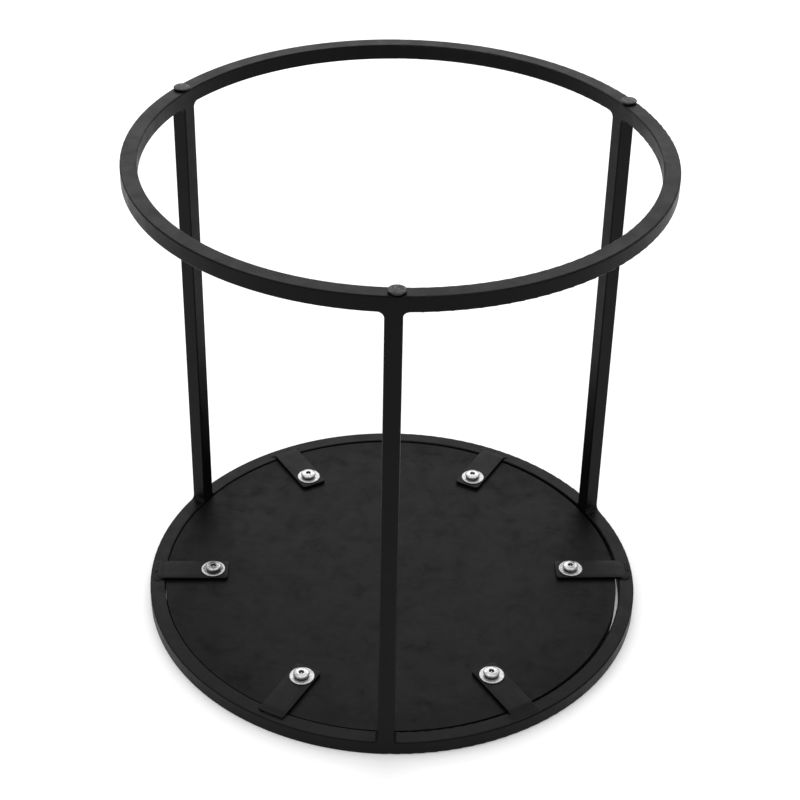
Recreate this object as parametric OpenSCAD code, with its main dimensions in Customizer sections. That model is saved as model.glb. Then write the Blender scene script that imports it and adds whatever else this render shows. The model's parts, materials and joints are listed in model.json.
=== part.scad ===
// Round side table, stored standing on its table top with its feet in the air.
// z = 0 is the table-top face. The glides that meet the floor in use are at the top.

/* [Frame] */
// Outer diameter of both rings
ring_d = 410; // [380:2:440]
// Height of the welded frame, from the table-top face to the foot ring's face
frame_h = 410; // [200:2:700]
// Outside size of the square steel tube
tube = 12.5; // [11:0.1:14]
// Wall of the square tube
tube_wall = 1.2; // [0.8:0.1:1.5]
// Outside corner radius of the square tube
tube_corner_r = 1.1; // [0.8:0.1:2]
// Radius of the weld fillets between a leg and the foot ring
foot_weld_r = 4.8; // [3:0.1:7]
// Radius of the weld fillets between a leg and the table-top ring
top_weld_r = 3.6; // [2.5:0.1:6]
// Diameter of the hidden vent holes between a leg and a ring
vent_d = 5; // [3:0.5:6]

/* [Table top] */
// Even gap between the board and the ring around it
board_gap = 1.5; // [1:0.05:4]
// How far the board sits off centre, towards -X
board_shift = 1; // [0:0.05:1]
// How far the board's underside lies below the rim of the ring
board_recess = 0.9; // [0:0.1:1.5]
// Thickness of each laminate sheet on the board
laminate_t = 0.6; // [0.4:0.1:1]

/* [Tabs] */
// Turn of the six tabs together, in degrees
tab_turn = 2.5; // [0:0.5:5]
// Extra turn of tab 1, as it was welded by hand
tab_turn_1 = 0.5; // [-1.5:0.1:1.5]
// Extra turn of tab 2, as it was welded by hand
tab_turn_2 = 0.3; // [-1.5:0.1:1.5]
// Extra turn of tab 3, as it was welded by hand
tab_turn_3 = -0.9; // [-1.5:0.1:1.5]
// Extra turn of tab 4, as it was welded by hand
tab_turn_4 = -0.3; // [-1.5:0.1:1.5]
// Extra turn of tab 5, as it was welded by hand
tab_turn_5 = 0.6; // [-1.5:0.1:1.5]
// Extra turn of tab 6, as it was welded by hand
tab_turn_6 = 0.1; // [-1.5:0.1:1.5]
// Width of a tab
tab_w = 22.5; // [21:0.5:30]
// Length of a tab
tab_l = 60; // [55:1:65]
// Thickness of a tab
tab_t = 2; // [1.5:0.1:4]
// Corner radius of a tab
tab_corner_r = 3; // [2:0.5:5]
// Distance from a tab's outer end to the ring's outer face
tab_inset = 5.5; // [5:0.25:6.5]
// Width of the weld bead around a tab's outer end
bead_w = 2; // [1:0.25:3]
// Height of that weld bead
bead_h = 1.4; // [0.8:0.1:1.5]
// Distance of the screws from the middle of the table
screw_ring_r = 152; // [151:0.5:165]

/* [Fasteners] */
// Nominal thread diameter
thread_d = 6; // [5:1:6]
// Diameter of the screw head
head_d = 13; // [12:0.1:14]
// Height of the screw head
head_h = 2.2; // [2:0.1:4]
// Radius around the top edge of the screw head
head_edge_r = 1.2; // [0.8:0.1:1.8]
// Hexagon key size of the screw
key_af = 4; // [3:0.5:5]
// Depth of the key socket
key_depth = 1.4; // [1:0.1:1.8]
// Length of the screw under its head
screw_l = 12; // [10:1:14]
// Outer diameter of the flat washer
washer_d = 20; // [16:0.5:21]
// Thickness of the flat washer
washer_t = 1; // [0.8:0.1:2]
// Outer diameter of the spring washer
spring_d = 11.8; // [10:0.1:12]
// Thickness of the spring washer
spring_t = 1.5; // [1:0.1:2]
// Width of the split in the spring washer
spring_split = 0.7; // [0.4:0.1:1.2]
// Outer diameter of the threaded insert
insert_d = 9; // [8.5:0.5:12]
// Length of the threaded insert
insert_l = 10; // [8:0.5:10]

/* [Glides] */
// Diameter of a glide
glide_d = 13; // [10:0.5:16]
// Height of a glide above the foot ring
glide_h = 2; // [1.5:0.1:4]
// Height of the straight rim under the glide's dome
glide_rim_h = 1.2; // [0.3:0.1:1.4]
// Diameter of the glide's stem
stem_d = 6; // [4:0.5:6]
// Length of the glide's stem
stem_l = 7; // [5:0.5:9]
// How far along the ring the front glide sits from its leg, counter-clockwise
slip_front = 1.9; // [-6:0.1:6]
// The same for the back right glide
slip_back_right = -4.9; // [-6:0.1:6]
// The same for the back left glide
slip_back_left = 0.7; // [-6:0.1:6]

/* [Hidden] */
$fn = 96;
ring_r = ring_d / 2;
inner_r = ring_r - tube;
tube_mid_r = ring_r - tube / 2;
board_r = inner_r - board_gap;
backing_z = tube - board_recess - laminate_t;
foot_ring_z = frame_h - tube;
leg_l = frame_h - 2 * tube;
tab_out_r = ring_r - tab_inset;
tab_in_r = tab_out_r - tab_l;
washer_z = tube + tab_t;
spring_z = washer_z + washer_t;
head_z = spring_z + spring_t;
head_r = head_d / 2;

// Radial play of parts that slip into or over one another
play = 0.04;
// Clearance hole for the screw in a tab and in a washer
screw_hole_d = thread_d + 0.4;
// Depth left below an insert in its blind hole
insert_relief = 0.3;
// How far the ground weld stays inside the tube's faces
weld_inset = 0.05;
// Part of the fillet's reach that is kept, which trims its feather edge
weld_toe = 0.93;
// How far the weld fills the rounded edges of a ring beside a leg
groove = tube_corner_r - 0.2;
// Height of the dome that the glide's small flat cuts off
glide_flat_h = 0.1;
// Extra radius of the barb on the glide's stem
barb = 0.4;
// Overlap that lets a cut run clear through a face
eps = 1;

SIDES = ["front", "back_right", "back_left"];
leg_angles = [-90, 30, 150];
glide_slips = [slip_front, slip_back_right, slip_back_left];
tab_count = 6;
tab_range = [1 : tab_count];
extra_turns = [tab_turn_1, tab_turn_2, tab_turn_3, tab_turn_4, tab_turn_5, tab_turn_6];
NUMBERED = ["tab", "tab_weld", "insert", "washer", "spring_washer", "screw"];
NODES = concat(
    ["board_core", "board_face", "board_backing", "top_ring", "foot_ring"],
    [for (part = ["leg", "top_weld", "foot_weld", "glide"], side = SIDES) str(part, "_", side)],
    [for (part = NUMBERED, i = tab_range) str(part, "_", i)]);
node = "all";

function shown(name) = node == "all" || node == name;
function tab_angle(i) = tab_turn + extra_turns[i - 1] + (i - 1) * 360 / tab_count;

// ---- places ----

module at_leg(i) {
    rotate([0, 0, leg_angles[i]]) translate([tube_mid_r, 0, 0]) children();
}

module at_glide(i) {
    rotate([0, 0, glide_slips[i] / tube_mid_r * 180 / PI]) at_leg(i) children();
}

module at_tab(i) {
    rotate([0, 0, tab_angle(i)]) children();
}

module at_screw(i) {
    at_tab(i) translate([screw_ring_r, 0, 0]) children();
}

module at_every_screw() {
    for (i = tab_range) at_screw(i) children();
}

// ---- shared shapes ----

module rounded_rect(x, y, r) {
    square([x, y - 2 * r], center = true);
    square([x - 2 * r, y], center = true);
    for (sx = [-1, 1], sy = [-1, 1])
        translate([sx * (x / 2 - r), sy * (y / 2 - r)]) circle(r);
}

module tube_outline() {
    rounded_rect(tube, tube, tube_corner_r);
}

module tube_section() {
    difference() {
        tube_outline();
        square(tube - 2 * tube_wall, center = true);
    }
}

// A ring of the section given, with its lower face at z = 0
module bent_ring() {
    rotate_extrude($fn = 180) translate([tube_mid_r, tube / 2]) children();
}

// A round bar from height z0 to z1, used solid or as a hole
module bar(d, z0, z1) {
    translate([0, 0, z0]) cylinder(h = z1 - z0, d = d);
}

module vent(z) {
    for (i = [0 : 2]) at_leg(i) bar(vent_d, z - eps, z + tube_wall + eps);
}

// ---- table top ----

module board_sheet(z, t) {
    translate([-board_shift, 0, z]) cylinder(h = t, r = board_r, $fn = 180);
}

module board_core() {
    color("#3a3531") difference() {
        board_sheet(laminate_t, backing_z - laminate_t);
        at_every_screw() bar(insert_d, tube - insert_l - insert_relief, tube);
    }
}

module board_face() {
    color("#2e2e30") board_sheet(0, laminate_t);
}

module board_backing() {
    color("#2e2e30") difference() {
        board_sheet(backing_z, laminate_t);
        at_every_screw() bar(insert_d, 0, tube + eps);
    }
}

// ---- welded frame ----

module top_ring() {
    color("#262626") difference() {
        bent_ring() tube_section();
        vent(tube - tube_wall);
    }
}

module foot_ring() {
    color("#262626") difference() {
        translate([0, 0, foot_ring_z]) bent_ring() tube_section();
        vent(foot_ring_z);
        for (i = [0 : 2]) at_glide(i) bar(stem_d + 2 * play, frame_h - 2 * tube_wall, frame_h + eps);
    }
}

module leg(i) {
    color("#262626") at_leg(i) translate([0, 0, tube]) linear_extrude(leg_l) tube_section();
}

// Outline of a leg weld seen from outside: the ring's face is y = 0, the leg runs up
module leg_weld_outline(r) {
    reach = tube / 2 + weld_toe * r;
    difference() {
        polygon([[-reach, 0], [-reach + groove, -groove], [reach - groove, -groove],
                 [reach, 0], [reach, weld_toe * r], [-reach, weld_toe * r]]);
        for (s = [-1, 1]) translate([s * (tube / 2 + r), r]) circle(r);
    }
}

// A weld between the upper face of a ring at z = 0 and a leg that stands on it
module leg_weld(i, r) {
    difference() {
        intersection() {
            at_leg(i) rotate([90, 0, 90]) translate([0, 0, -tube])
                linear_extrude(2 * tube) leg_weld_outline(r);
            translate([0, 0, -tube]) difference() {
                cylinder(h = 2 * tube, r = ring_r - weld_inset, $fn = 180);
                translate([0, 0, -eps])
                    cylinder(h = 2 * tube + 2 * eps, r = inner_r + weld_inset, $fn = 180);
            }
        }
        at_leg(i) linear_extrude(2 * tube) tube_outline();
        translate([0, 0, -tube]) bent_ring() tube_outline();
    }
}

module top_weld(i) {
    color("#262626") translate([0, 0, tube]) leg_weld(i, top_weld_r);
}

module foot_weld(i) {
    color("#262626") translate([0, 0, foot_ring_z]) mirror([0, 0, 1]) leg_weld(i, foot_weld_r);
}

// ---- tabs ----

// A tab without its hole, grown by a margin all round
module tab_blank(height, margin) {
    translate([(tab_in_r + tab_out_r) / 2, 0, tube]) linear_extrude(height)
        rounded_rect(tab_l + 2 * margin, tab_w + 2 * margin, tab_corner_r + margin);
}

module tab(i) {
    color("#2b2b2b") difference() {
        at_tab(i) tab_blank(tab_t, 0);
        at_screw(i) bar(screw_hole_d, 0, washer_z + eps);
    }
}

// A bead round the tab's outer end and back along both sides, as far as the ring is wide
module tab_weld(i) {
    start_x = inner_r + tube_corner_r;
    color("#262626") at_tab(i) difference() {
        tab_blank(bead_h, bead_w);
        translate([0, 0, -eps]) tab_blank(bead_h + 2 * eps, 0);
        translate([0, -tab_w, 0]) cube([start_x, 2 * tab_w, 2 * tube]);
    }
}

// ---- fasteners ----

module insert(i) {
    color("#b59a4c") at_screw(i) difference() {
        bar(insert_d - 2 * play, tube - insert_l, tube);
        bar(thread_d + 2 * play, 0, tube + eps);
    }
}

module washer(i) {
    color("#d0d2d4") at_screw(i) difference() {
        bar(washer_d, washer_z, spring_z);
        bar(screw_hole_d, washer_z - eps, spring_z + eps);
    }
}

// The split is turned to a different side on each screw
module spring_washer(i) {
    color("#8f9194") at_screw(i) difference() {
        bar(spring_d, spring_z, head_z);
        bar(screw_hole_d, spring_z - eps, head_z + eps);
        rotate([0, 0, 75 * i]) translate([spring_d / 2, 0, spring_z + spring_t / 2])
            rotate([30, 0, 0]) cube([spring_d, spring_split, 3 * spring_t], center = true);
    }
}

module screw_head() {
    rotate_extrude() {
        square([head_r - head_edge_r, head_h]);
        square([head_r, head_h - head_edge_r]);
        intersection() {
            translate([head_r - head_edge_r, head_h - head_edge_r]) circle(head_edge_r);
            square([head_r, head_h]);
        }
    }
}

module screw(i) {
    tip = 0.8;
    color("#d8dadc") at_screw(i) translate([0, 0, head_z]) difference() {
        union() {
            screw_head();
            translate([0, 0, -screw_l + tip]) cylinder(h = screw_l, d = thread_d);
            translate([0, 0, -screw_l]) cylinder(h = tip, d1 = thread_d - 2 * tip, d2 = thread_d);
        }
        rotate([0, 0, 40 * i]) {
            translate([0, 0, head_h - key_depth])
                cylinder(h = key_depth + eps, d = key_af / cos(30), $fn = 6);
            translate([0, 0, head_h - key_depth - key_af / 6])
                cylinder(h = key_af / 6 + eps / 10, d1 = 0.2, d2 = key_af * 0.95);
        }
    }
}

// ---- glides ----

module glide(i) {
    dome_h = glide_h + glide_flat_h - glide_rim_h;
    dome_r = (pow(glide_d / 2, 2) + pow(dome_h, 2)) / (2 * dome_h);
    color("#4a4a4a") at_glide(i) translate([0, 0, frame_h]) {
        intersection() {
            cylinder(h = glide_h, d = glide_d);
            translate([0, 0, glide_h + glide_flat_h - dome_r]) sphere(dome_r);
        }
        translate([0, 0, -stem_l]) cylinder(h = stem_l + glide_rim_h, d = stem_d);
        translate([0, 0, -stem_l])
            cylinder(h = stem_l - 1.2 * tube_wall, d1 = stem_d - 1, d2 = stem_d + 2 * barb);
    }
}

// ---- the whole table ----

if (shown("board_core")) board_core();
if (shown("board_face")) board_face();
if (shown("board_backing")) board_backing();
if (shown("top_ring")) top_ring();
if (shown("foot_ring")) foot_ring();
for (i = [0 : 2]) {
    if (shown(str("leg_", SIDES[i]))) leg(i);
    if (shown(str("top_weld_", SIDES[i]))) top_weld(i);
    if (shown(str("foot_weld_", SIDES[i]))) foot_weld(i);
    if (shown(str("glide_", SIDES[i]))) glide(i);
}
for (i = tab_range) {
    if (shown(str("tab_", i))) tab(i);
    if (shown(str("tab_weld_", i))) tab_weld(i);
    if (shown(str("insert_", i))) insert(i);
    if (shown(str("washer_", i))) washer(i);
    if (shown(str("spring_washer_", i))) spring_washer(i);
    if (shown(str("screw_", i))) screw(i);
}
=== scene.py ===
"""Looks of a round side table that is stored standing on its table top, glides uppermost.

The CAD nodes give the frame, the board and every place. This script gives each of them a
procedural finish, puts finer meshes in place of the tabs, welds, fasteners and glides, and adds
floor, light and camera.
"""

import json
import math

import bmesh
import bpy
from mathutils import Matrix, Vector, noise


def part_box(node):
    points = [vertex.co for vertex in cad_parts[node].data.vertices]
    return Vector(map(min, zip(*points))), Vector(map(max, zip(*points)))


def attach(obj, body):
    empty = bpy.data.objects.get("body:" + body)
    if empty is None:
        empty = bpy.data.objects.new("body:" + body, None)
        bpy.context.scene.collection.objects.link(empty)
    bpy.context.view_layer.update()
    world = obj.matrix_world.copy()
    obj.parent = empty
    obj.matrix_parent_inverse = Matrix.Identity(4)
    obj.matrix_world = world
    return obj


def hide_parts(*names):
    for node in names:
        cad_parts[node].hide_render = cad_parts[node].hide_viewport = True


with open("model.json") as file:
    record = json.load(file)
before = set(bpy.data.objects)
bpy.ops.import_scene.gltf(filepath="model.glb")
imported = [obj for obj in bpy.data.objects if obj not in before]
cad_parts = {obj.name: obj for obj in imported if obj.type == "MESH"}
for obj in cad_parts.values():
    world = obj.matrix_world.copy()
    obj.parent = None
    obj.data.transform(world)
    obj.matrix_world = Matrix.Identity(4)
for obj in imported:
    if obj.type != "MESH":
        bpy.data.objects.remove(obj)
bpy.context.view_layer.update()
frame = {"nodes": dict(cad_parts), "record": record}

# noise_vector shifts its pattern by Blender's random state, which this fixes
noise.seed_set(1)

MM = 0.001
SIDES = ("front", "back_right", "back_left")
NUMBERS = range(1, 7)


# ---------------------------------------------------------------- places, read from the frame


def box_mm(node):
    """Lowest and highest corner of a CAD node, in millimetres."""
    low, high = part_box(node)
    return low / MM, high / MM


def middle_mm(node):
    """Middle of a CAD node's box, in millimetres."""
    low, high = box_mm(node)
    return (low + high) / 2


RING_R = box_mm("foot_ring")[1].x
TUBE = box_mm("top_ring")[1].z
TUBE_MID_R = RING_R - TUBE / 2
FOOT_RING_Z = box_mm("foot_ring")[0].z
FRAME_H = box_mm("foot_ring")[1].z
TUBE_CORNER_R = 1.1


def turn_of(node):
    """Direction of a node's middle from the table's axis, in radians."""
    centre = middle_mm(node)
    return math.atan2(centre.y, centre.x)


LEG_TURN = {side: turn_of(f"leg_{side}") for side in SIDES}
TAB_TURN = {i: turn_of(f"screw_{i}") for i in NUMBERS}


# ---------------------------------------------------------------- materials


class Finish:
    """One procedural material, with short calls for the nodes that it needs."""

    def __init__(self, name):
        self.material = bpy.data.materials.new(name)
        self.material.use_nodes = True
        self.tree = self.material.node_tree
        self.tree.nodes.clear()
        output = self.tree.nodes.new("ShaderNodeOutputMaterial")
        self.shader = self.tree.nodes.new("ShaderNodeBsdfPrincipled")
        self.join(self.shader.outputs["BSDF"], output.inputs["Surface"])
        self.place = self.tree.nodes.new("ShaderNodeTexCoord").outputs["Object"]
        self.local = self.place
        self.index = None
        self.normal = None

    def vary_by_piece(self):
        """Shifts the pattern by the piece's place, and reads the piece's object index."""
        info = self.tree.nodes.new("ShaderNodeObjectInfo")
        add = self.tree.nodes.new("ShaderNodeVectorMath")
        self.join(self.place, add.inputs[0])
        self.join(info.outputs["Location"], add.inputs[1])
        self.place = add.outputs["Vector"]
        self.index = info.outputs["Object Index"]

    def join(self, source, target):
        self.tree.links.new(source, target)

    def feed(self, socket, value):
        """Links an output, or sets a plain value."""
        if isinstance(value, bpy.types.NodeSocket):
            self.join(value, socket)
        else:
            socket.default_value = value

    def set(self, **values):
        """Sets the shader's own sockets, such as Base_Color or Roughness."""
        for name, value in values.items():
            self.feed(self.shader.inputs[name.replace("_", " ")], value)

    def noise(self, size_mm, detail=2.0, rough=0.5, twist=0.0, place=None):
        """Noise from 0 to 1 whose features are about size_mm wide."""
        node = self.tree.nodes.new("ShaderNodeTexNoise")
        self.feed(node.inputs["Vector"], place or self.place)
        node.inputs["Scale"].default_value = 1000.0 / size_mm
        node.inputs["Detail"].default_value = detail
        node.inputs["Roughness"].default_value = rough
        node.inputs["Distortion"].default_value = twist
        return node.outputs["Fac"]

    def cells(self, size_mm):
        """Distance to the nearest of the points scattered about size_mm apart."""
        node = self.tree.nodes.new("ShaderNodeTexVoronoi")
        self.feed(node.inputs["Vector"], self.place)
        node.inputs["Scale"].default_value = 1000.0 / size_mm
        return node.outputs["Distance"]

    def sum(self, kind, a, b=0.0, clamp=False):
        """Result of one operation, such as ADD or MULTIPLY, on one or two numbers."""
        node = self.tree.nodes.new("ShaderNodeMath")
        node.operation = kind
        node.use_clamp = clamp
        self.feed(node.inputs[0], a)
        self.feed(node.inputs[1], b)
        return node.outputs[0]

    def spread(self, value, low, high, out_low=0.0, out_high=1.0):
        """Maps low..high softly to out_low..out_high and holds it there outside."""
        node = self.tree.nodes.new("ShaderNodeMapRange")
        node.interpolation_type = "SMOOTHSTEP"
        ends = (("From Min", low), ("From Max", high), ("To Min", out_low), ("To Max", out_high))
        for name, number in ends:
            node.inputs[name].default_value = number
        self.feed(node.inputs["Value"], value)
        return node.outputs["Result"]

    def blend(self, share, a, b):
        """Colour a where the share is 0, and colour b where it is 1."""
        node = self.tree.nodes.new("ShaderNodeMix")
        node.data_type = "RGBA"
        self.feed(node.inputs["Factor"], share)
        self.feed(node.inputs["A"], a)
        self.feed(node.inputs["B"], b)
        return node.outputs["Result"]

    def bump(self, height, depth_mm, strength=1.0):
        """Adds a layer of relief, and its normal becomes the shader's."""
        node = self.tree.nodes.new("ShaderNodeBump")
        node.inputs["Strength"].default_value = strength
        node.inputs["Distance"].default_value = depth_mm * MM
        self.feed(node.inputs["Height"], height)
        if self.normal is not None:
            self.join(self.normal, node.inputs["Normal"])
        self.normal = node.outputs["Normal"]
        self.feed(self.shader.inputs["Normal"], self.normal)

    def edges(self, radius_mm, start=0.985, full=0.86):
        """1 on sharp outer edges, 0 on open faces."""
        bevel = self.tree.nodes.new("ShaderNodeBevel")
        bevel.samples = 4
        bevel.inputs["Radius"].default_value = radius_mm * MM
        face = self.tree.nodes.new("ShaderNodeNewGeometry")
        dot = self.tree.nodes.new("ShaderNodeVectorMath")
        dot.operation = "DOT_PRODUCT"
        self.join(bevel.outputs["Normal"], dot.inputs[0])
        self.join(face.outputs["Normal"], dot.inputs[1])
        return self.spread(dot.outputs["Value"], start, full)

    def facing_up(self, start=0.6, full=0.98):
        """1 on faces that look up, 0 on upright ones."""
        face = self.tree.nodes.new("ShaderNodeNewGeometry")
        split = self.tree.nodes.new("ShaderNodeSeparateXYZ")
        self.join(face.outputs["Normal"], split.inputs[0])
        return self.spread(split.outputs["Z"], start, full)

    def stretched(self, x, y):
        """The place with its X and Y scaled, for streaky patterns."""
        node = self.tree.nodes.new("ShaderNodeVectorMath")
        node.operation = "MULTIPLY"
        self.join(self.place, node.inputs[0])
        node.inputs[1].default_value = (x, y, 1)
        return node.outputs["Vector"]

    def from_axis(self):
        """Distance from the piece's own Z axis, and the point (distance, 0, Z)."""
        split = self.tree.nodes.new("ShaderNodeSeparateXYZ")
        self.join(self.local, split.inputs[0])
        square_x = self.sum("MULTIPLY", split.outputs["X"], split.outputs["X"])
        square_y = self.sum("MULTIPLY", split.outputs["Y"], split.outputs["Y"])
        radius = self.sum("SQRT", self.sum("ADD", square_x, square_y))
        join = self.tree.nodes.new("ShaderNodeCombineXYZ")
        self.join(radius, join.inputs["X"])
        self.join(split.outputs["Z"], join.inputs["Z"])
        return radius, join.outputs["Vector"]


def grey(level, warmth=0.0):
    """A near-neutral colour. Positive warmth leans to brown, negative to blue."""
    return (level * (1 + warmth), level, level * (1 - warmth), 1.0)


# Specular level of the satin powder coat
SHEEN = 0.094


def powder_coat(name, level=0.002, rough=0.4, peel_mm=1.6, wear_and_highlight=0.5, shaded_side_sheen=SHEEN, shade_hidden_wall=False):
    """Satin black powder coat: orange peel, fine grain, uneven gloss, faint dust, pale edges of
    wear and painted highlight.

    shaded_side_sheen is the specular level of upright faces, lowered there as painted shade. With
    thin, the ring's wall that the board hides has almost no sheen: painted shade in the gap.
    """
    f = Finish(name)
    cloud = f.noise(38, detail=4, rough=0.6)
    fine = f.noise(0.9, detail=3, rough=0.7)
    body = f.blend(f.spread(cloud, 0.3, 0.7), grey(level), grey(level * 1.5, 0.02))
    speck = f.spread(fine, 0.62, 0.8, 0.0, 0.5)
    body = f.blend(speck, body, grey(level * 2.6))
    dust = f.sum("MULTIPLY", f.facing_up(), f.spread(f.noise(9, 5, 0.7), 0.42, 0.75, 0.0, 0.35))
    body = f.blend(dust, body, grey(level * 4, 0.03))
    # Pale rounded edges: partly wear, partly painted highlight where the corners catch light
    edge_wear_and_highlight = f.sum("MULTIPLY", f.edges(0.7), f.spread(f.noise(4, 4, 0.7), 0.35, 0.7, 0.1, wear_and_highlight))
    body = f.blend(edge_wear_and_highlight, body, grey(level * 5))
    gloss = f.spread(f.noise(14, 3, 0.6), 0.3, 0.7, rough - 0.05, rough + 0.05)
    gloss = f.sum("ADD", gloss, f.spread(fine, 0.3, 0.8, -0.04, 0.08))
    f.set(Base_Color=body, Roughness=gloss, Specular_IOR_Level=SHEEN)
    # Painted shade: upright faces lose their sheen
    if shaded_side_sheen < SHEEN:
        f.set(Specular_IOR_Level=f.spread(f.facing_up(0.2, 0.85), 0, 1, shaded_side_sheen, SHEEN))
    # Painted shade: the ring's inner wall in the gap beside the board loses its sheen
    if shade_hidden_wall:
        wall = RING_R - TUBE
        radius, section = f.from_axis()
        split = f.tree.nodes.new("ShaderNodeSeparateXYZ")
        f.join(section, split.inputs[0])
        wall_shade = f.sum("MULTIPLY", f.spread(radius, (wall + 0.3) * MM, (wall + 0.1) * MM),
                       f.spread(split.outputs["Z"], TUBE * MM, (TUBE - 0.8) * MM))
        f.set(Specular_IOR_Level=f.spread(wall_shade, 0, 1, SHEEN, 0.01))
    f.bump(f.noise(peel_mm, 2, 0.45), 0.035, 0.8)
    f.bump(fine, 0.02, 0.6)
    return f.material


def laminate(name, level=0.0022, rough=0.48, sheen=0.09, rim_mm=188.0):
    """Matt black sheet: faint clouds, rubbed patches, streaks, grit, a dull band near its rim."""
    f = Finish(name)
    cloud = f.noise(60, detail=5, rough=0.62, twist=0.3)
    mottle = f.noise(6, detail=4, rough=0.7)
    grit = f.noise(1.3, detail=3, rough=0.7)
    body = f.blend(f.spread(cloud, 0.36, 0.68), grey(level), grey(level * 1.8, 0.015))
    body = f.blend(f.spread(mottle, 0.48, 0.72, 0.0, 0.3), body, grey(level * 2.4))
    body = f.blend(f.spread(grit, 0.55, 0.75, 0.0, 0.5), body, grey(level * 3))
    speck = f.spread(f.cells(5.5), 0.045, 0.02)
    body = f.blend(f.sum("MULTIPLY", speck, 0.5), body, grey(level * 16))
    smudge = f.noise(17, detail=5, rough=0.65, twist=0.5)
    gloss = f.spread(smudge, 0.36, 0.66, rough - 0.03, rough + 0.05)
    streak = f.noise(8, detail=5, rough=0.7, place=f.stretched(0.35, 1.5))
    radius, _ = f.from_axis()
    ragged = f.sum("ADD", radius, f.sum("MULTIPLY", smudge, 0.05))
    rim = f.spread(ragged, (rim_mm - 14) * MM, (rim_mm + 24) * MM, 0.0, -0.2 * sheen)
    rubbed = f.spread(smudge, 0.56, 0.7, 0.0, -0.2 * sheen)
    wiped = f.spread(streak, 0.55, 0.72, 0.0, -0.14 * sheen)
    light = f.spread(mottle, 0.4, 0.66, 0.0, 0.07 * sheen)
    uneven = f.sum("ADD", f.sum("ADD", rim, rubbed), f.sum("ADD", wiped, light))
    f.set(Base_Color=body, Roughness=gloss, Specular_IOR_Level=f.sum("ADD", uneven, sheen))
    f.bump(grit, 0.02, 0.5)
    f.bump(mottle, 0.03, 0.2)
    return f.material


def fibreboard(name):
    """Dense fibreboard with a dark stained cut edge."""
    f = Finish(name)
    fibre = f.noise(1.2, detail=6, rough=0.75, twist=0.8)
    body = f.blend(f.spread(fibre, 0.3, 0.7), grey(0.004, 0.1), grey(0.011, 0.2))
    f.set(Base_Color=body, Roughness=f.spread(fibre, 0.2, 0.8, 0.7, 0.92), Specular_IOR_Level=0.08)
    f.bump(fibre, 0.08, 0.6)
    return f.material


def plated(name, level=0.5, rough=0.27, stain=0.5, socket_mm=0.0, dull_mm=(0.0, 0.0)):
    """Zinc plate: turning rings round the axis, cloudy gloss, dull spots, painted shade in the key
    socket.

    A piece with an object index of 1 has gone dull between the two radii of dull_mm.
    """
    f = Finish(name)
    f.vary_by_piece()
    radius, around = f.from_axis()
    cloud = f.noise(2.4, detail=4, rough=0.65)
    body = f.blend(f.spread(cloud, 0.3, 0.7), grey(level), grey(level * 0.68))
    tarnish = f.spread(f.noise(0.9, 5, 0.75), 0.54, 0.74, 0.0, stain)
    body = f.blend(tarnish, body, grey(level * 0.3, 0.03))
    turning = f.noise(0.5, 2, 0.7, place=around)
    body = f.blend(f.spread(turning, 0.5, 0.7, 0.0, 0.3), body, grey(level * 0.5))
    gloss = f.spread(cloud, 0.3, 0.75, rough, rough + 0.14)
    gloss = f.sum("ADD", gloss, f.sum("MULTIPLY", tarnish, 0.3), clamp=True)
    if dull_mm[1]:
        past = f.spread(radius, (dull_mm[0] - 0.3) * MM, (dull_mm[0] + 0.3) * MM)
        before = f.spread(radius, (dull_mm[1] + 0.3) * MM, (dull_mm[1] - 0.3) * MM)
        dull = f.sum("MULTIPLY", f.index, f.sum("MULTIPLY", past, before))
        patchy = f.spread(cloud, 0.35, 0.65, 0.55, 0.9)
        body = f.blend(f.sum("MULTIPLY", dull, patchy), body, grey(level * 0.16))
    if socket_mm:
        # Painted shade: the key socket's walls drawn near black, its bright centre left clear
        socket_shade = f.spread(radius, socket_mm * MM, (socket_mm - 0.25) * MM)
        socket_shade = f.sum("SUBTRACT", socket_shade, f.spread(radius, 0.95 * MM, 0.45 * MM), clamp=True)
        body = f.blend(f.sum("MULTIPLY", socket_shade, 0.92), body, grey(0.02))
    f.set(Base_Color=body, Metallic=1.0, Roughness=gloss)
    f.bump(f.noise(0.28, 2, 0.7, place=around), 0.012, 0.6)
    f.bump(f.noise(0.5, 4, 0.7), 0.02, 0.7)
    return f.material


def moulded_plastic(name, level=0.006, rough=0.42):
    """Dark grey glide plastic, mottled and scuffed on its crown."""
    f = Finish(name)
    f.vary_by_piece()
    mottle = f.noise(3.0, detail=5, rough=0.75, twist=1.2)
    body = f.blend(f.spread(mottle, 0.42, 0.6), grey(level * 0.5), grey(level * 4, 0.01))
    scuff = f.sum("MULTIPLY", f.facing_up(0.8, 1.0), f.spread(f.noise(1.5, 4, 0.7), 0.54, 0.66))
    body = f.blend(scuff, body, grey(level * 26))
    gloss = f.spread(mottle, 0.4, 0.62, rough - 0.1, rough + 0.22)
    f.set(Base_Color=body, Roughness=gloss, Specular_IOR_Level=0.24)
    f.bump(f.noise(0.7, 3, 0.6), 0.03, 0.7)
    f.bump(mottle, 0.22, 0.8)
    return f.material


def turned_brass(name):
    """Brass with a few darker stains."""
    f = Finish(name)
    stain = f.noise(1.5, 4, 0.7)
    body = f.blend(f.spread(stain, 0.3, 0.7), (0.72, 0.52, 0.22, 1), (0.42, 0.28, 0.11, 1))
    f.set(Base_Color=body, Metallic=1.0, Roughness=f.spread(stain, 0.3, 0.7, 0.28, 0.5))
    f.bump(f.noise(0.4, 3, 0.7), 0.01, 0.5)
    return f.material


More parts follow.
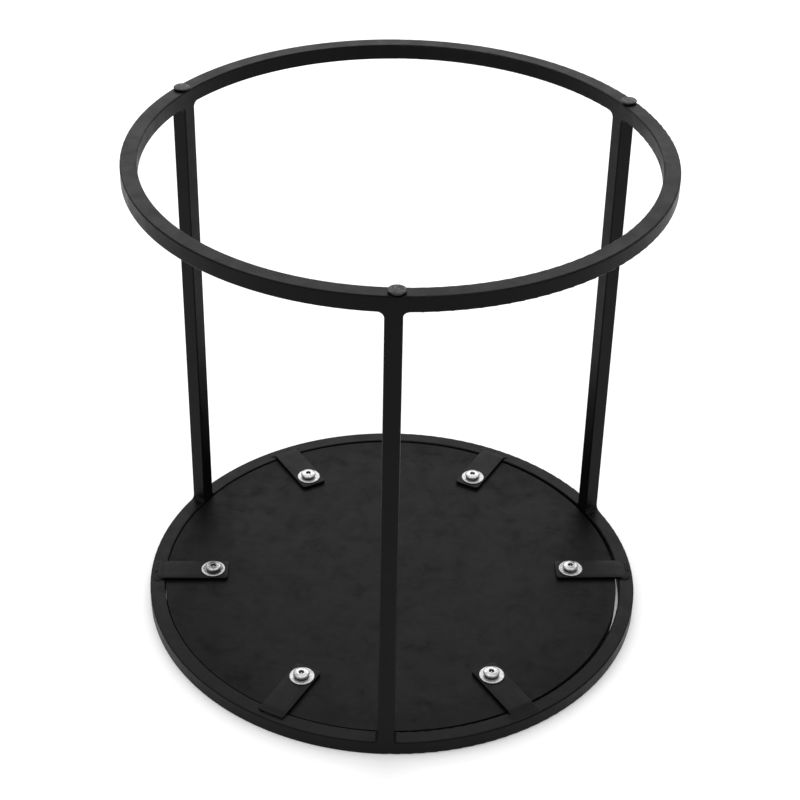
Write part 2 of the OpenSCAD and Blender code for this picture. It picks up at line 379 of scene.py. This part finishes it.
FINISHES = {
    "frame_black": powder_coat("frame_black", shade_hidden_wall=True),
    "weld_black": powder_coat("weld_black", peel_mm=2.2, wear_and_highlight=0.3),
    "tab_black": powder_coat("tab_black", level=0.0022, rough=0.38, shaded_side_sheen=0.02),
    "board_backing": laminate("board_backing"),
    "board_face": laminate("board_face", level=0.003, rough=0.42),
    "board_core": fibreboard("board_core"),
    "insert_metal": turned_brass("insert_metal"),
    "washer_zinc": plated("washer_zinc", level=0.58, rough=0.38, dull_mm=(6.0, 8.4)),
    "spring_steel": plated("spring_steel", level=0.07, rough=0.4),
    "screw_zinc": plated("screw_zinc", level=0.54, rough=0.2, stain=0.35, socket_mm=2.2,
                         dull_mm=(1.2, 4.9)),
    "glide_plastic": moulded_plastic("glide_plastic"),
}
SLOT_OF = {row["node"]: row["material_slot"] for row in frame["record"]["subparts"]}


def paint_cad_nodes():
    """Gives every CAD node the finish of its material slot."""
    for name, node in frame["nodes"].items():
        node.data.materials.clear()
        node.data.materials.append(FINISHES[SLOT_OF[name]])


def soften(node, width_mm):
    """Joins a CAD node's split corners and rounds its sharp edges, by modifiers only."""
    weld = node.modifiers.new("join_corners", "WELD")
    weld.merge_threshold = 0.002 * MM
    bevel = node.modifiers.new("soft_edges", "BEVEL")
    bevel.width = width_mm * MM
    bevel.segments = 3
    bevel.limit_method = "ANGLE"
    bevel.angle_limit = math.radians(50)
    bevel.harden_normals = False
    node.modifiers.new("even_shading", "WEIGHTED_NORMAL").keep_sharp = False


# ---------------------------------------------------------------- pieces in place of CAD nodes


def finish_piece(name, build, slot, node, at=(0, 0, 0), turn=0.0, tilt=(0.0, 0.0)):
    """Makes an object of a bmesh built in millimetres, and puts it in place of a CAD node."""
    bmesh.ops.recalc_face_normals(build, faces=build.faces)
    bmesh.ops.scale(build, vec=(MM, MM, MM), verts=build.verts)
    mesh = bpy.data.meshes.new(name)
    build.to_mesh(mesh)
    build.free()
    mesh.shade_smooth()
    mesh.set_sharp_from_angle(angle=math.radians(38))
    mesh.materials.append(FINISHES[slot])
    piece = bpy.data.objects.new(name, mesh)
    piece.location = Vector(at) * MM
    piece.rotation_euler = (math.radians(tilt[0]), math.radians(tilt[1]), turn)
    bpy.context.scene.collection.objects.link(piece)
    bpy.context.view_layer.update()
    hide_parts(node)
    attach(piece, "root")
    return piece


def skin(build, loops):
    """Joins closed loops of points into a tube with open ends."""
    for low, high in zip(loops, loops[1:]):
        for k in range(len(low)):
            nxt = (k + 1) % len(low)
            build.faces.new((low[k], low[nxt], high[nxt], high[k]))


def hexagon_reach(angle):
    """How much further a hexagon's edge is in this direction than at its flats."""
    fold = (angle + math.pi / 6) % (math.pi / 3) - math.pi / 6
    return 1 / math.cos(fold)


def turned(outline, steps=96, closed=False, rough_mm=0.0, seed=0.0):
    """Turns (radius, height, hexagonal share) points about Z, from one end to the other."""
    build = bmesh.new()
    rings = []
    for radius, height, *rest in outline:
        share = rest[0] if rest else 0.0
        if radius == 0:
            rings.append([build.verts.new((0, 0, height))] * steps)
            continue
        ring = []
        for k in range(steps):
            angle = math.tau * k / steps
            reach = radius * (1 - share + share * hexagon_reach(angle))
            spot = Vector((reach * math.cos(angle), reach * math.sin(angle), height))
            if rough_mm:
                spot += noise.noise_vector(spot * 0.9 + Vector((seed, 0, 0))) * rough_mm
            ring.append(build.verts.new(spot))
        rings.append(ring)
    pairs = list(zip(rings, rings[1:]))
    if closed:
        pairs.append((rings[-1], rings[0]))
    for low, high in pairs:
        for k in range(steps):
            corners = [low[k], low[(k + 1) % steps], high[(k + 1) % steps], high[k]]
            face = list(dict.fromkeys(corners))
            build.faces.new(face)
    return build


# Head of the screw from the shank outwards, over the rim and in to the key socket:
# (radius, height above its seat, hexagonal share)
HEAD_OUTLINE = [
    (3.0, 0.0), (6.1, 0.0), (6.34, 0.06), (6.46, 0.2), (6.5, 0.42), (6.47, 0.8), (6.4, 1.1),
    (6.24, 1.38), (5.98, 1.6), (5.6, 1.78), (4.95, 1.95), (4.2, 2.07), (3.4, 2.15), (2.7, 2.2),
    (2.4, 2.19, 0.2), (2.2, 2.14, 0.7), (2.04, 2.04, 1.0), (2.0, 1.92, 1.0), (2.0, 0.95, 1.0),
    (1.9, 0.85, 1.0), (1.2, 0.8, 0.5), (0.7, 1.0), (0.3, 1.12), (0, 1.15)]
SHANK_OUTLINE = [(0, -12), (2.3, -12), (2.6, -11.85), (3.0, -11.3)]
WASHER_OUTLINE = [
    (3.5, 0.08), (3.5, 0.9), (3.58, 0.98), (5.5, 0.985), (7.2, 0.96), (8.3, 0.955), (9.0, 0.985),
    (9.4, 1.0), (9.7, 0.96), (9.9, 0.86), (10.0, 0.7), (10.0, 0.16), (9.93, 0.05), (9.8, 0.0),
    (3.6, 0.0)]
GLIDE_OUTLINE = [
    (0, -7), (2.4, -7), (2.75, -6.8), (3.38, -2.0), (3.38, -1.5), (3.0, -1.4), (3.0, 0.0),
    (5.3, 0.0), (5.8, 0.3), (6.3, 0.85), (6.5, 1.35), (6.48, 1.56), (6.34, 1.75), (5.95, 1.89),
    (5.1, 1.96), (3.9, 1.99), (2.4, 2.0), (1.0, 2.0), (0, 2.0)]


def spring_ring(start, thickness=1.42, gap_mm=1.0, rise=0.08):
    """A split ring of nearly square section whose ends stand slightly apart."""
    inner, outer, soft = 3.2, 5.88, 0.16
    section = [
        (inner + soft, 0), (outer - soft, 0), (outer, soft), (outer, thickness - soft),
        (outer - soft, thickness), (inner + soft, thickness), (inner, thickness - soft),
        (inner, soft)]
    build = bmesh.new()
    steps = 90
    half_gap = gap_mm / outer / 2
    loops = []
    for k in range(steps + 1):
        share = k / steps
        angle = start + half_gap + (math.tau - 2 * half_gap) * share
        lift = rise * share
        lean = 0.09 * (2 * share - 1)
        loop = []
        for radius, height in section:
            at = angle + lean * (height / thickness - 0.5) * 2
            loop.append(build.verts.new(
                (radius * math.cos(at), radius * math.sin(at), height + lift)))
        loops.append(loop)
    skin(build, loops)
    build.faces.new(loops[0])
    build.faces.new(list(reversed(loops[-1])))
    return build


# How far each washer has slipped from its screw, towards +X and -Y, in millimetres
WASHER_SLIP = {1: (0.3, -0.1), 2: (0.38, -0.2), 3: (0.4, -0.15), 4: (-0.3, 0.1),
               5: (0.38, -0.2), 6: (0.36, -0.22)}
# The screw whose top has gone dull, and the small lean of each head in degrees about X and Y
DULL_SCREW = 4
HEAD_LEAN = {1: (0.4, 0.6), 2: (0.3, -0.8), 3: (-0.4, -0.9), 4: (1.6, 2.2), 5: (0.3, 0.5),
             6: (-0.5, -0.6)}


def add_fasteners():
    """Washers, split spring washers and screws, each a little off true."""
    for i in NUMBERS:
        seat = middle_mm(f"spring_washer_{i}")
        washer_z = box_mm(f"washer_{i}")[0].z
        spring_z = box_mm(f"spring_washer_{i}")[0].z
        head_z = box_mm(f"spring_washer_{i}")[1].z
        slip = WASHER_SLIP[i]
        washer = finish_piece(
            f"washer_turned_{i}", turned(WASHER_OUTLINE, closed=True), "washer_zinc",
            f"washer_{i}", (seat.x + slip[0], seat.y + slip[1], washer_z), turn=i * 1.3)
        finish_piece(f"spring_split_{i}", spring_ring(start=math.radians(75 * i - 120)),
                     "spring_steel", f"spring_washer_{i}", (seat.x, seat.y, spring_z))
        screw = turned(SHANK_OUTLINE + HEAD_OUTLINE)
        head = finish_piece(f"screw_turned_{i}", screw, "screw_zinc", f"screw_{i}",
                            (seat.x, seat.y, head_z + 0.02), turn=math.radians(40 * i),
                            tilt=HEAD_LEAN[i])
        head.pass_index = washer.pass_index = 1 if i == DULL_SCREW else 0


def add_glides():
    """Three moulded glides with slightly uneven domes."""
    for k, side in enumerate(SIDES):
        centre = middle_mm(f"glide_{side}")
        build = turned(GLIDE_OUTLINE, rough_mm=0.07, seed=k * 31.0)
        finish_piece(f"glide_moulded_{side}", build, "glide_plastic", f"glide_{side}",
                     (centre.x, centre.y, FRAME_H), turn=k * 2.1)


# ---------------------------------------------------------------- welds

HALF = TUBE / 2


def smooth(value):
    """0 below 0, 1 above 1, and a soft step between."""
    value = min(1.0, max(0.0, value))
    return value * value * (3 - 2 * value)


def edge_drop(past):
    """How far a rounded tube edge has fallen, at a distance past the start of its rounding."""
    past = min(TUBE_CORNER_R, max(0.0, past))
    return TUBE_CORNER_R - math.sqrt(TUBE_CORNER_R ** 2 - past ** 2)


# Fillet radii to the left and right of a leg as seen from outside the table, in millimetres
FILLETS = {
    ("foot", "front"): (5.0, 3.9), ("foot", "back_right"): (4.6, 4.3),
    ("foot", "back_left"): (4.2, 4.7), ("top", "front"): (3.4, 3.0),
    ("top", "back_right"): (4.2, 3.3), ("top", "back_left"): (3.2, 3.6)}
# Steps of a fillet along its curve, across the tube, and over each of its two end faces
FILLET_STEPS = 18
ACROSS_STEPS = 16
FACE_STEPS = 7
# Where the weld's face closes on the faces of leg and ring, (along the ring, off the ring)
WELD_HEART = (HALF - 1.5, -1.45)


def fillet_line(u, radius):
    """Points across the tube at one place along the fillet, (across, along, off the ring)."""
    angle = math.pi * (1 + u / 2)
    centre = (HALF + radius, radius)
    line = []
    for k in range(ACROSS_STEPS + 1):
        across = -HALF + TUBE * k / ACROSS_STEPS
        if 0 < k < ACROSS_STEPS:
            across = HALF * math.copysign(1 - (1 - abs(across) / HALF) ** 1.6, across)
        drop = edge_drop(abs(across) - (HALF - TUBE_CORNER_R))
        reach = radius + min(drop, 0.9 * TUBE_CORNER_R)
        line.append((across, centre[0] + reach * math.cos(angle),
                     centre[1] + reach * math.sin(angle)))
    face = []
    inside = smooth(min(u, 1 - u) / 0.16)
    edge = line[-1]
    for k in range(1, FACE_STEPS):
        v = k / FACE_STEPS
        along = edge[1] + (WELD_HEART[0] - edge[1]) * v
        off = edge[2] + (WELD_HEART[1] - edge[2]) * v
        past = along - (HALF - TUBE_CORNER_R) if u < 0.5 else off + TUBE_CORNER_R
        bare = edge_drop(past)
        face.append((HALF - bare * (1 - inside) + 0.015 * inside, along, off))
    mirrored = [(-across, along, off) for across, along, off in reversed(face)]
    return mirrored + line + face


def weld_point(across, along, off, hand, seed):
    """Bends a point of a leg weld to the ring's curve and adds a slight unevenness."""
    curve = 1 - smooth(off / 4.0)
    sag = along ** 2 / (2 * (TUBE_MID_R + across)) * curve
    spot = Vector((across - sag, along * hand, off))
    uneven = noise.noise(spot * 0.45 + Vector((seed, 0, 0))) * 0.07
    return spot + Vector((0, -uneven * hand, uneven)) * 0.6


def add_fillet(build, radius, hand, seed):
    """Adds a weld fillet on one side of a leg, left with hand -1 and right with hand 1."""
    rows = []
    for j in range(FILLET_STEPS + 1):
        line = fillet_line(j / FILLET_STEPS, radius)
        rows.append([build.verts.new(weld_point(*point, hand, seed)) for point in line])
    poles = [build.verts.new(weld_point(side * HALF, *WELD_HEART, hand, seed)) for side in (-1, 1)]
    for low, high in zip(rows, rows[1:]):
        for a, b, c, d in zip(low, low[1:], high[1:], high):
            build.faces.new((a, b, c, d))
        build.faces.new((poles[0], low[0], high[0]))
        build.faces.new((poles[1], high[-1], low[-1]))
    for row in (rows[0], rows[-1]):
        build.faces.new([poles[0], *row, poles[1]])


def add_bridge(build, side, seed):
    """Fills the groove between the leg's end and the ring's rounded edge, across the leg."""
    section = [(HALF - 1.3, 0.12), (HALF - 0.03, 0.12), (HALF + 0.012, -0.1),
               (HALF + 0.02, -0.6), (HALF, -1.3), (HALF - 1.3, -1.4)]
    loops = []
    for k in range(25):
        along = (HALF - 1.25) * (k / 12 - 1)
        loops.append([build.verts.new(weld_point(side * across, along, off, 1, seed))
                      for across, off in section])
    skin(build, loops)
    build.faces.new(loops[0])
    build.faces.new(loops[-1])


def add_leg_welds():
    """One piece for each joint: two fillets and the filled grooves beside the leg's end."""
    for k, ((ring, side), radii) in enumerate(FILLETS.items()):
        build = bmesh.new()
        flip = -1 if ring == "foot" else 1
        add_fillet(build, radii[0], -1, k * 9.0)
        add_fillet(build, radii[1], 1, k * 9.0 + 4)
        add_bridge(build, -1, k * 9.0)
        add_bridge(build, 1, k * 9.0)
        bmesh.ops.scale(build, vec=(1, 1, flip), verts=build.verts)
        turn = LEG_TURN[side]
        at = (TUBE_MID_R * math.cos(turn), TUBE_MID_R * math.sin(turn),
              FOOT_RING_Z if ring == "foot" else TUBE)
        finish_piece(f"leg_weld_{ring}_{side}", build, "weld_black", f"{ring}_weld_{side}",
                     at, turn=turn)


class Tab:
    """A tab's outline, read from the frame, in its own axes: x outwards, z from the ring up."""

    corner = 3.0
    ring_start = RING_R - TUBE + TUBE_CORNER_R + 0.1

    def __init__(self):
        node = frame["nodes"]["tab_1"]
        turn = Matrix.Rotation(-TAB_TURN[1], 4, "Z") @ node.matrix_world
        spots = [turn @ v.co / MM for v in node.data.vertices]
        self.inner = min(v.x for v in spots)
        self.outer = max(v.x for v in spots)
        self.half = max(v.y for v in spots)
        self.full = max(v.z for v in spots) - TUBE

    def height(self, x, ground):
        """Top of the tab over the ring. Its outer end is ground down with its weld."""
        share = smooth((x - self.ring_start + 2.5) / (self.outer - self.ring_start + 2.5))
        return self.full - ground * share

    def width(self, x):
        """Half of the tab's width, less at its rounded corners."""
        near = min(x - self.inner, self.outer - x, self.corner)
        return self.half - self.corner + math.sqrt(
            max(0.0, self.corner ** 2 - (self.corner - near) ** 2))

    def stations(self):
        """Places along the tab, close together where its outline or height changes."""
        ends = [0.0, 0.08, 0.2, 0.4, 0.7, 1.05, 1.5, 2.0, 2.5, self.corner]
        places = [self.inner + step for step in ends]
        places += [self.inner + self.corner + 5 * k for k in range(1, 10)]
        places += [self.outer - self.corner - 0.75 * k for k in range(8, 0, -1)]
        return places + [self.outer - step for step in reversed(ends)]

    def path(self, step=0.25):
        """Points and outward directions round the end, from one side to the other."""
        half = []
        run = self.outer - self.corner - self.ring_start
        for k in range(int(run / step) + 1):
            half.append((Vector((self.ring_start + k * step, self.half)), Vector((0, 1))))
        arcs = int(self.corner * math.pi / 2 / step)
        middle = Vector((self.outer - self.corner, self.half - self.corner))
        for k in range(arcs + 1):
            angle = math.pi / 2 * (1 - k / arcs)
            out = Vector((math.cos(angle), math.sin(angle)))
            half.append((middle + out * self.corner, out))
        flat = int((self.half - self.corner) / step)
        for k in range(1, flat + 1):
            across = (self.half - self.corner) * (1 - k / flat)
            half.append((Vector((self.outer, across)), Vector((1, 0))))
        other = [(Vector((p.x, -p.y)), Vector((n.x, -n.y))) for p, n in reversed(half[:-1])]
        return half + other


# Each tab's weld, in mm: how much its end is ground down, the weld's reach over the ring, its
# swell, waviness and start under the tab's edge, and a pinhole's place (past the end, across)
FLUSH_WELD = {"ground": 1.3, "reach": 3.9, "swell": 0.08, "wave": 0.1, "under": 0.0,
              "pinhole": None}
TAB_WELDS = {
    1: {**FLUSH_WELD, "ground": 1.0, "reach": 3.2, "swell": 0.32, "wave": 0.2,
        "pinhole": (1.7, -0.4)},
    2: FLUSH_WELD,
    3: FLUSH_WELD,
    4: {**FLUSH_WELD, "ground": 1.4, "reach": 4.0, "swell": 0.05, "pinhole": (0.9, 0.8)},
    5: {**FLUSH_WELD, "ground": 0.6, "reach": 1.1, "swell": 0.1, "wave": 0.9, "under": 0.9},
    6: {**FLUSH_WELD, "reach": 3.7, "swell": 0.1, "wave": 0.3, "under": 0.12}}


def add_ground_tab(i, tab):
    """A flat tab with softened edges, ground down where it is welded to the ring."""
    weld = TAB_WELDS[i]
    build = bmesh.new()
    rows = []
    for x in tab.stations():
        half = tab.width(x)
        end = min(x - tab.inner, tab.outer - x)
        top = tab.height(x, weld["ground"]) - 0.3 * (1 - min(1, end / 0.4)) ** 2
        side = [(half, 0.0), (half, top - 0.35), (half - 0.06, top - 0.16),
                (half - 0.18, top - 0.05), (half - 0.38, top), (half * 0.5, top)]
        section = side + [(0.0, top)] + [(-y, z) for y, z in reversed(side)]
        rows.append([build.verts.new((x, y, z)) for y, z in section])
    skin(build, rows)
    build.faces.new(rows[0])
    build.faces.new(rows[-1])
    finish_piece(f"tab_ground_{i}", build, "tab_black", f"tab_{i}", (0, 0, TUBE),
                 turn=TAB_TURN[i])


def add_tab_weld(i, tab):
    """A ground weld that slopes from the tab's edge down to the ring, faded at both ends."""
    weld = TAB_WELDS[i]
    build = bmesh.new()
    path = tab.path()
    rows = []
    for k, (spot, out) in enumerate(path):
        share = k / (len(path) - 1)
        fade = smooth(min(share, 1 - share) / 0.14)
        wander = noise.noise(Vector((share * 9, i * 7.0, 0)))
        edge = tab.height(spot.x, weld["ground"])
        under = weld["under"] * (1 + wander * weld["wave"] * 1.5)
        start = max(0.15, edge - 0.02 - under - (1 - fade) * 0.5 * edge)
        reach = max(0.3, (weld["reach"] + weld["wave"] * wander * 2) * fade)
        section = [(-0.6, 0.02), (-0.6, edge - 0.45), (-0.06, edge - 0.4 - under)]
        for step in range(13):
            v = step / 12
            height = start * (1 - smooth(v) * 0.6 - v * 0.4)
            section.append((reach * v, height + weld["swell"] * math.sin(math.pi * v) * fade))
        section.append((reach, 0.0))
        row = []
        for distance, height in section:
            place = spot + out * distance
            if weld["pinhole"] and 0 < distance < reach * 0.99:
                past, across = weld["pinhole"]
                away = math.hypot(place.x - tab.outer - past, place.y - across)
                height += 0.3 * math.exp(-(away / 1.3) ** 2) * min(1, height / 0.3)
                height -= 1.6 * math.exp(-(away / 0.5) ** 2)
            grain = noise.noise(Vector((place.x, place.y, i)) * 0.8) * 0.05 * fade
            row.append(build.verts.new((place.x, place.y, max(0.01, height + grain))))
        rows.append(row)
    skin(build, rows)
    build.faces.new(rows[0])
    build.faces.new(rows[-1])
    finish_piece(f"tab_weld_ground_{i}", build, "weld_black", f"tab_weld_{i}",
                 (0, 0, TUBE), turn=TAB_TURN[i])


def add_tabs():
    tab = Tab()
    for i in NUMBERS:
        add_ground_tab(i, tab)
        add_tab_weld(i, tab)


# ---------------------------------------------------------------- camera, light and floor

CAMERA_AT_MM = Vector((15.2, -1250.0, 1041.6))
CAMERA_YAW = -0.00947
CAMERA_PITCH = 0.59816
CAMERA_ROLL = 0.02162
CAMERA_LENS_MM = 85.1
SENSOR_MM = 36
WORLD_GLOW = 0.62
# Name, place, aim, width and height in metres, and glow of each softbox
SOFTBOXES = [
    ("overhead", (0, 0.3, 2.6), (0, 0, 0.2), 2.6, 2.6, 1.2),
    ("back", (0, 2.6, 1.9), (0, 0, 0.3), 3.4, 1.5, 2.0),
    ("left", (-1.9, -1.5, 1.7), (0, 0, 0.1), 0.6, 0.6, 4.6)]
# Half of the floor's width, its depth below the table top, and its own brightness
FLOOR_HALF_M = 12.0
FLOOR_DROP_M = 0.0002
FLOOR_GLOW = 0.22


def add_camera():
    """Camera at the photograph's viewing angle."""
    camera = bpy.data.objects.new("camera", bpy.data.cameras.new("camera"))
    bpy.context.scene.collection.objects.link(camera)
    level = Vector((math.cos(CAMERA_YAW), -math.sin(CAMERA_YAW), 0))
    ahead = Vector((math.sin(CAMERA_YAW) * math.cos(CAMERA_PITCH),
                    math.cos(CAMERA_YAW) * math.cos(CAMERA_PITCH), -math.sin(CAMERA_PITCH)))
    above = level.cross(ahead)
    right = math.cos(CAMERA_ROLL) * level + math.sin(CAMERA_ROLL) * above
    up = math.cos(CAMERA_ROLL) * above - math.sin(CAMERA_ROLL) * level
    turn = Matrix((right, up, -ahead)).transposed()
    camera.matrix_world = Matrix.Translation(CAMERA_AT_MM * MM) @ turn.to_4x4()
    camera.data.lens = CAMERA_LENS_MM
    camera.data.sensor_width = SENSOR_MM
    camera.data.clip_start = 0.05
    bpy.context.scene.camera = camera


def add_softbox(name, at, aim, width, height, glow):
    """A rectangular soft light. glow is its brightness as seen, 1 being white."""
    light = bpy.data.lights.new(name, "AREA")
    light.shape = "RECTANGLE"
    light.size = width
    light.size_y = height
    light.energy = glow * math.pi * width * height
    lamp = bpy.data.objects.new(name, light)
    bpy.context.scene.collection.objects.link(lamp)
    lamp.location = at
    lamp.rotation_euler = (Vector(aim) - Vector(at)).to_track_quat("-Z", "Y").to_euler()
    lamp.visible_camera = False


def add_studio():
    """Even surroundings and three softboxes."""
    world = bpy.data.worlds.new("studio")
    bpy.context.scene.world = world
    world.use_nodes = True
    world.node_tree.nodes["Background"].inputs["Color"].default_value = (1, 1, 1, 1)
    world.node_tree.nodes["Background"].inputs["Strength"].default_value = WORLD_GLOW
    for softbox in SOFTBOXES:
        add_softbox(*softbox)
    bpy.context.scene.view_settings.view_transform = "Standard"


def add_floor():
    """A wide pale floor just under the table top."""
    mesh = bpy.data.meshes.new("floor")
    half = FLOOR_HALF_M
    mesh.from_pydata([(-half, -half, 0), (half, -half, 0), (half, half, 0), (-half, half, 0)],
                     [], [(0, 1, 2, 3)])
    floor = bpy.data.objects.new("floor", mesh)
    floor.location.z = -FLOOR_DROP_M
    bpy.context.scene.collection.objects.link(floor)
    f = Finish("floor_pale")
    tone = f.noise(400, detail=2)
    f.set(Base_Color=f.blend(f.spread(tone, 0.3, 0.7), grey(0.88), grey(0.9)),
          Roughness=f.spread(tone, 0.3, 0.7, 0.75, 0.85), Emission_Color=grey(1.0),
          Emission_Strength=FLOOR_GLOW)
    mesh.materials.append(f.material)


paint_cad_nodes()
for name in ("board_backing", "board_face"):
    soften(frame["nodes"][name], 0.2)
add_fasteners()
add_glides()
add_leg_welds()
add_tabs()
add_floor()
add_studio()
add_camera()
